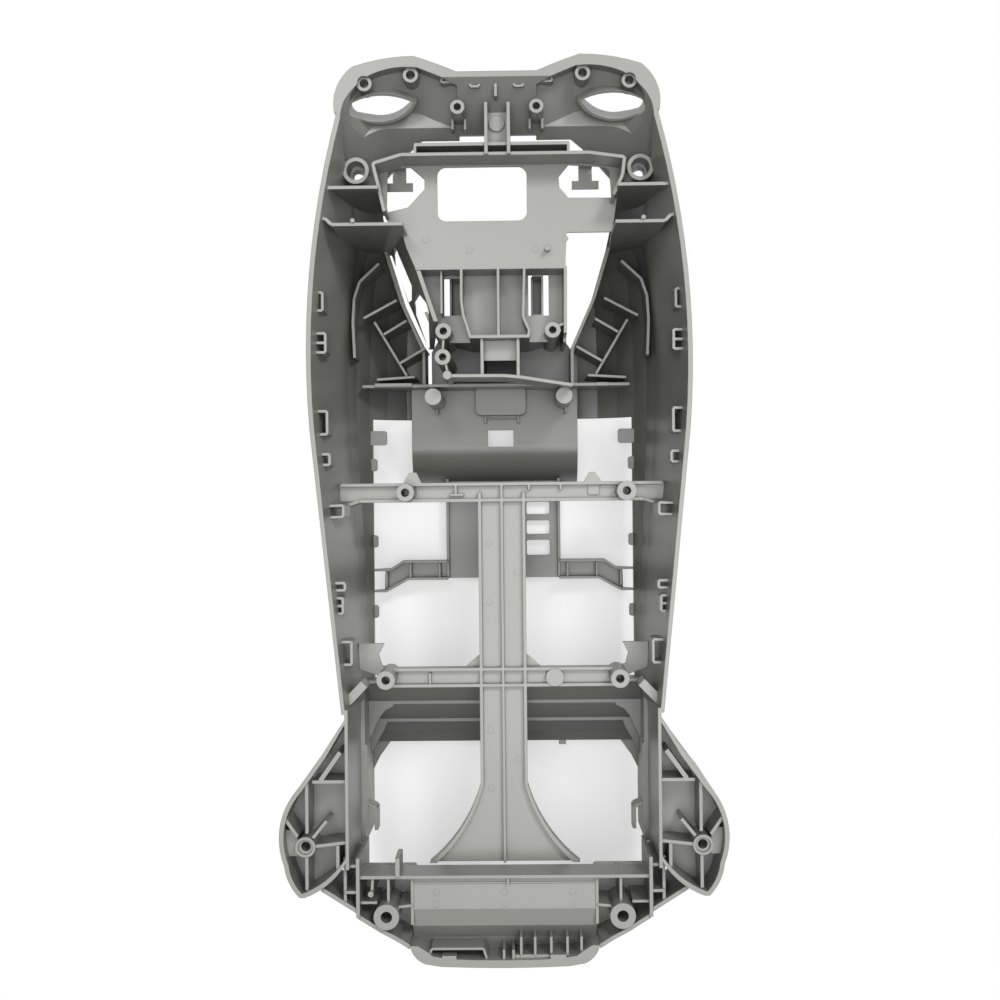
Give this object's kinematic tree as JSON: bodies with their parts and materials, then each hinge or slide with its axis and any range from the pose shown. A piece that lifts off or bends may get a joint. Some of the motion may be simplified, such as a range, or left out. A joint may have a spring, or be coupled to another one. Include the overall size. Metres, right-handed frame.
{
  "type": "moulded appliance housing half",
  "caption": "Tall one-piece moulded housing half of an upright floor appliance, open on one side, with screw bosses, ribs, cross beams, screw ears and hand openings.",
  "frame": {"origin": "middle of the bounding box, on the surface that the front of the housing lies on", "axes": "+Z out of the open side, +Y towards the end with the two hand openings, +X to the right seen from the open side"},
  "size_m": [0.2932, 0.595, 0.15],
  "materials": {
    "moulded_plastic": "satin"
  },
  "bodies": {
    "root": {"housing": "moulded_plastic"}
  },
  "joints": []
}
